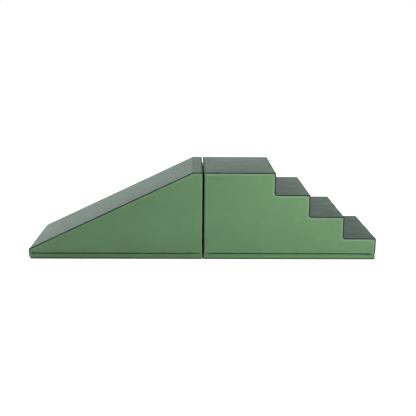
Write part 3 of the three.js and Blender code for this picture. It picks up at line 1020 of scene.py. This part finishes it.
def tall_wall(block):
    """The green end wall in the gap, wrapped round onto the front and the back."""
    side, top = HALF_DEPTH + WRAP + WALL_FOLD * (math.pi / 2 - 2), HEIGHT - NOSING - CLEARANCE
    corners = rectangle((-side, PANEL_FLOOR), (side, top), PANEL_CORNER)
    points, triangles, _, _, edge = fill_outline(corners, GRID_STEP, WRAP_ROWS)
    facing, height = np.sign(points[:, 0]), points[:, 1]
    to_seam = side - np.abs(points[:, 0])
    past = to_seam - (WRAP - WALL_FOLD)
    angle = np.clip(past / WALL_FOLD, 0, math.pi / 2)
    way_out, way_up = np.cos(angle), np.sin(angle)
    inset = WALL_FOLD * (1 - way_out) + np.maximum(past - WALL_FOLD * math.pi / 2, 0)
    depth = WALL_FOLD * (1 - way_up) - np.minimum(past, 0)
    inner_share = smooth(np.minimum(inset, top - height) / WALL_SINK_WIDTH)
    swell = WALL_SWELL * smooth(2 * (1 - (HALF_DEPTH - inset) / WALL_SWELL_WIDTH))
    swell = swell - WALL_SINK * (1 - inner_share)
    hollow = WAVE_DEPTH * inner_share * ripple(points, WAVE_LENGTH, block.seed + 40)
    seams = eased(top - height, SEAM_WIDTH, SEAM_DROP)
    seams = seams + rounded_over(height - PANEL_FLOOR, SEAM_SHUT_WIDTH, SEAM_SHUT)
    sunk = depth + way_up * (hollow - swell + seams)
    drawn = inset + way_out * (eased(to_seam, FLAT_SEAM_WIDTH, FLAT_SEAM_DROP) + seams)
    outer = np.column_stack([sunk, facing * (HALF_DEPTH - drawn), height])
    inner = np.column_stack([sunk + SHELL * way_up, facing * (HALF_DEPTH - drawn - SHELL * way_out), height])
    count = len(points)
    behind = [[v + count for v in reversed(triangle)] for triangle in triangles]
    faces = triangles + behind + rim_faces(edge, count)
    # Painted shade in the seams and on the wall inside the gap between the blocks; painted highlight beside
    # the top seam and, on the ramp, along the fold that faces the right-hand lamp.
    marks = seam_shade_and_highlight(top - height)
    marks["painted_highlight"] = np.maximum(marks["painted_highlight"], block.highlit_fold * seam_shade_and_highlight(to_seam)["painted_highlight"])
    gap_shade = smooth((to_seam - GAP_SHADE_FROM) / GAP_SHADE_WIDTH) * smooth(1 - to_seam / GAP_SHADE_TO)
    marks["crease"] = np.maximum(marks["crease"], gap_shade)
    skins = np.concatenate([outer, inner])
    make_piece(block, "green_wall", skins, faces, green, "tall_wall", fill=0.95, marks=marks)


# Lower edge: the band, and the zip along the front


def base_band(block):
    """The green band: turned under at its foot, folded under the zip, tight to its other seams."""
    corners = rectangle((0, -HALF_DEPTH), (LENGTH, HALF_DEPTH), ROLL)
    path, outs = trace(corners[2:] + corners[:2], COVER_STEP, closed=True)
    gathers = pucker(lengths_along(path), np.full(len(path), BAND_GATHER_PLACE), block.seed + 50)
    at_zip = over_zip(block, path[:, 0]) * smooth(-outs[:, 1] * 2 - 1)
    turn = BAND_TURN + (BAND_FOLD - BAND_TURN) * at_zip
    drawn = waist(block, BAND_TOP) * smooth((path[:, 0] - LENGTH + ROLL) / ROLL) * np.maximum(outs[:, 0], 0)
    floor = BASE_TOP + CLEARANCE
    low = floor + BAND_FOOT
    section = [(BAND_FOOT * FOOT_TUCK_SHARE * b, floor + BAND_FOOT * a) for a, b in quarter(TURN_STEPS)]
    for k in range(1, PUFF_STEPS + 1):
        share = k / PUFF_STEPS
        puff = BAND_PUFF * math.sin(math.pi * share) * (BAND_PUFF_SHARE + (1 - BAND_PUFF_SHARE) * at_zip)
        puff = puff + BAND_GATHER_SHARE * gathers * (1 - share)
        section.append((drawn * share - puff, low + (BAND_TOP - turn - low) * share))
    section += [(drawn + turn * a, BAND_TOP - turn * b) for a, b in quarter(TURN_STEPS)[1:]]
    section += [(HEM_LEAF, BAND_TOP), (HEM_LEAF, floor)]
    rings = np.empty((len(path), len(section), 3))
    for j, (inset, height) in enumerate(section):
        rings[:, j, :2] = path - outs * np.asarray(inset)[..., None]
        rings[:, j, 2] = height
    faces = loft_faces(len(path), len(section), closed_way=True)
    make_piece(block, "green_band", rings, faces, green, "base_band", fill=0.9)


def straight_bar(ends, front, back, low, high):
    """A bar along u, between two insets from the block's front and two heights, as points and faces."""
    section = ((front, low), (front, high), (back, high), (back, low))
    stations = np.linspace(*ends, 2 + int((ends[1] - ends[0]) / COVER_STEP))
    points = [(u, inset - HALF_DEPTH, height) for u in stations for inset, height in section]
    return points, loft_faces(len(stations), len(section))


def zip_tape(block, part):
    node = f"zip_{part}_tape"
    low, high = (corner.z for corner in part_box(f"{block.name}_{node}"))
    points, faces = straight_bar(span(block, node), COVER - TAPE, COVER, low, high)
    make_piece(block, f"{part}_tape", points, faces, tape_cloth, node)


def zip_coil(block):
    """Teeth from both tapes that mesh in the middle of the slot, over the cord that they are sewn round."""
    near, far = span(block, "zip_coil")
    length, width = TOOTH_LENGTH_SHARE * COIL_HALF, TOOTH_WIDTH_SHARE * TOOTH_PITCH
    tooth, tooth_faces = capsule(length, width, TOOTH_HEIGHT)
    u = np.arange(near + TOOTH_PITCH / 2, far - TOOTH_PITCH / 2, TOOTH_PITCH / 2)
    shift = np.where(np.arange(len(u)) % 2 == 0, 1, -1) * TOOTH_SHIFT_SHARE * COIL_HALF
    depth = np.full(len(u), COIL_RECESS + TOOTH_HEIGHT / 2 - HALF_DEPTH)
    places = np.column_stack([u, depth, COIL_MIDDLE + shift])
    teeth, faces = copies(tooth, tooth_faces, places, ((0, 0, 1), (1, 0, 0), (0, -1, 0)))
    front, half = COIL_RECESS + CORD_DEPTH_SHARE * TOOTH_HEIGHT, CORD_HALF_SHARE * COIL_HALF
    cord, cord_faces = straight_bar((near, far), front, HEM_LEAF, COIL_MIDDLE - half, COIL_MIDDLE + half)
    faces += [[v + len(teeth) for v in face] for face in cord_faces]
    make_piece(block, "zip_teeth", np.concatenate([teeth, cord]), faces, coil_plastic, "zip_coil")


def base_sheet(block):
    """The dark sheet underneath, with rows of rubber dots that grip the floor."""
    near, far = BASE_INSET, LENGTH - BASE_INSET
    side = HALF_DEPTH - BASE_INSET

    def lay(points, depth):
        return np.column_stack([points, depth])

    def skin(points, *_):
        return points, np.full(len(points), DOT_HEIGHT)

    corners = rectangle((near, -side), (far, side), ROLL)
    panel_piece(
        block, "base_cloth", corners, lay, skin, BASE_TOP,
        grid_step=4 * GRID_STEP, finish=base_cloth, node="base_sheet",
    )
    u = np.arange(near + DOT_MARGIN, far - DOT_MARGIN, DOT_PITCH)
    y = np.arange(DOT_MARGIN - side, side - DOT_MARGIN, DOT_PITCH)
    spots = np.array([(a + DOT_PITCH / 2 * (j % 2), b, DOT_HEIGHT) for j, b in enumerate(y) for a in u])
    spots = spots[spots[:, 0] < LENGTH - block.foot - DOT_RADIUS]
    dot = [
        (DOT_RADIUS * radius_share * a, DOT_RADIUS * radius_share * b, DOT_HEIGHT * height_share)
        for radius_share, height_share in DOT_SHARES for a, b in around(DOT_SIDES)
    ]
    dot_faces = loft_faces(len(DOT_SHARES), DOT_SIDES)
    dots, faces = copies(dot, dot_faces, spots, ((1, 0, 0), (0, 1, 0), (0, 0, -1)))
    make_piece(block, "grip_dots", dots, faces, rubber)


def topstitching(block):
    """Thread in the folds above and below the zip."""
    stitch, stitch_faces = capsule(STITCH_LENGTH, 2 * STITCH_RADIUS, 2 * STITCH_RADIUS)
    near, far = block.slot
    above, below = HEM + STITCH_INSET, BAND_TOP - STITCH_INSET
    places = [
        (u, -HALF_DEPTH - proud, height)
        for height, proud in ((above, hem_swell(above)), (below, BAND_PUFF))
        for u in np.arange(near + STITCH_END_GAP, far - STITCH_END_GAP, STITCH_PITCH)
    ]
    stitches, faces = copies(stitch, stitch_faces, np.array(places), ((1, 0, 0), (0, 0, 1), (0, -1, 0)))
    make_piece(block, "topstitching", stitches, faces, thread)


# Small hard parts and the strips keep the shape of their nodes, with softened edges


def refined(node, body, finish, bevel):
    """A node's own mesh again, with softened edges."""
    piece = add_object(f"{node}_fine", frame["nodes"][node].data.copy())
    work = bmesh.new()
    work.from_mesh(piece.data)
    bmesh.ops.remove_doubles(work, verts=work.verts, dist=WELD_WITHIN)
    bmesh.ops.dissolve_limit(work, angle_limit=FLAT_ANGLE, verts=work.verts, edges=work.edges)
    work.to_mesh(piece.data)
    work.free()
    piece.data.materials.clear()
    rounding = piece.modifiers.new("rounding", "BEVEL")
    rounding.width = bevel
    rounding.segments = 2
    rounding.limit_method = "ANGLE"
    rounding.angle_limit = EDGE_ANGLE
    piece.data.shade_smooth()
    weighted = piece.modifiers.new("even_shading", "WEIGHTED_NORMAL")
    weighted.keep_sharp = True
    dress(piece, finish, body, node)


for block in blocks:
    tape_near, tape_far = span(block, "zip_upper_tape")
    block.slot = (tape_near - CLEARANCE, tape_far + CLEARANCE)
    top_cover(block)
    side_panel(block, "front")
    side_panel(block, "back")
    tall_wall(block)
    base_band(block)
    zip_tape(block, "lower")
    zip_tape(block, "upper")
    zip_coil(block)
    base_sheet(block)
    topstitching(block)
    refined(f"{block.name}_foam_core", block.body, foam, CORE_BEVEL)
    for end in ("bottom", "top"):
        refined(f"{block.name}_zip_{end}_stop", block.body, metal, STRIP_BEVEL)
    for part in ("slider", "pull"):
        node = f"{block.name}_zip_{part}"
        refined(node, node, metal, METAL_BEVEL)
    for spot in ("front", "back"):
        refined(f"{block.name}_{block.strip}_{spot}", block.body, pile, STRIP_BEVEL)


# Stage: a plain pale floor and soft studio light

FLOOR_HALF = 30
FLOOR_PALE = 0.65
ROOM_LIGHT = 0.02
SHADOW_REACH = 0.25
SHADOW_SHARES = (0.05, 0.7)
WHITE_UP_TO = 0.18
DARK_FROM = 0.26
CEILING_SHARE = 0.1


def is_ray(tree, *kinds):
    """1 for rays of these kinds, 0 for all others."""
    path = add_node(tree, "LightPath").outputs
    total = 0
    for kind in kinds:
        total = plus(tree, path[f"Is {kind} Ray"], total)
    return calculate(tree, "MINIMUM", total, 1)


def add_floor():
    signs = ((-1, -1), (1, -1), (1, 1), (-1, 1))
    corners = [(FLOOR_HALF * a, FLOOR_HALF * b, 0) for a, b in signs]
    mesh = bpy.data.meshes.new("floor")
    mesh.from_pydata(corners, [], [(0, 1, 2, 3)])
    material, tree, surface = new_material("pale_floor")
    diffuse = add_node(tree, "BsdfDiffuse", Color=(FLOOR_PALE, FLOOR_PALE, FLOOR_PALE, 1))
    open_sky = add_node(tree, "AmbientOcclusion", {"samples": 8}, Distance=SHADOW_REACH)
    lift = times(tree, is_ray(tree, "Camera"), map_range(tree, open_sky.outputs["AO"], *SHADOW_SHARES))
    glow = add_node(tree, "Emission", Strength=lift)
    both = add_node(tree, "AddShader")
    feed(tree, both.inputs[0], diffuse.outputs[0])
    feed(tree, both.inputs[1], glow.outputs[0])
    feed(tree, surface, both.outputs[0])
    mesh.materials.append(material)
    floor = add_object("floor", mesh)
    floor.location.z = -CLEARANCE


def wall_brightness(tree):
    """White, but in reflections the studio's wall is white low down and darker towards the ceiling."""
    sky = add_node(tree, "TexCoord").outputs["Generated"]
    height = add_node(tree, "SeparateXYZ", Vector=sky).outputs["Z"]
    fade = map_range(tree, calculate(tree, "ABSOLUTE", height, 0), WHITE_UP_TO, DARK_FROM, 1, CEILING_SHARE)
    drop = calculate(tree, "SUBTRACT", 1, fade)
    return calculate(tree, "SUBTRACT", 1, times(tree, is_ray(tree, "Glossy"), drop))


def add_world():
    world = bpy.data.worlds.new("studio")
    bpy.context.scene.world = world
    world.use_nodes = True
    tree = world.node_tree
    tree.nodes.clear()
    white = add_node(tree, "Background", Color=(1, 1, 1, 1), Strength=wall_brightness(tree))
    room = add_node(tree, "Background", Color=(1, 1, 1, 1), Strength=ROOM_LIGHT)
    mixed = add_node(tree, "MixShader", Fac=is_ray(tree, "Camera", "Glossy", "Transmission"))
    output = add_node(tree, "OutputWorld")
    feed(tree, mixed.inputs[1], room.outputs[0])
    feed(tree, mixed.inputs[2], white.outputs[0])
    feed(tree, output.inputs["Surface"], mixed.outputs[0])


def add_lamp(name, place_at, target, size, watts, tint=(1, 1, 1)):
    data = bpy.data.lights.new(name, "AREA")
    data.shape = "DISK"
    data.size = size
    data.energy = watts
    data.color = tint
    lamp = add_object(name, data)
    away = unit(np.array(place_at) - np.array(target))
    level = unit(np.cross((0, 0, 1), away))
    stand(lamp, place_at, (level, np.cross(away, level), away))
    lamp.visible_camera = False
    lamp.visible_glossy = False


add_camera()
add_floor()
add_world()
add_lamp("softbox_right", (1.4, -1.8, 1.7), (0.3, 0, 0.3), size=1.35, watts=57, tint=(1, 0.97, 0.94))
add_lamp("softbox_left", (-2.2, 0.6, 2.2), (-0.3, 0, 0.3), size=1.8, watts=103, tint=(0.96, 0.93, 1))
add_lamp("softbox_above", (0.2, 0.2, 3.2), (0, 0, 0), size=2.4, watts=14)
bpy.context.scene.view_settings.view_transform = "Standard"
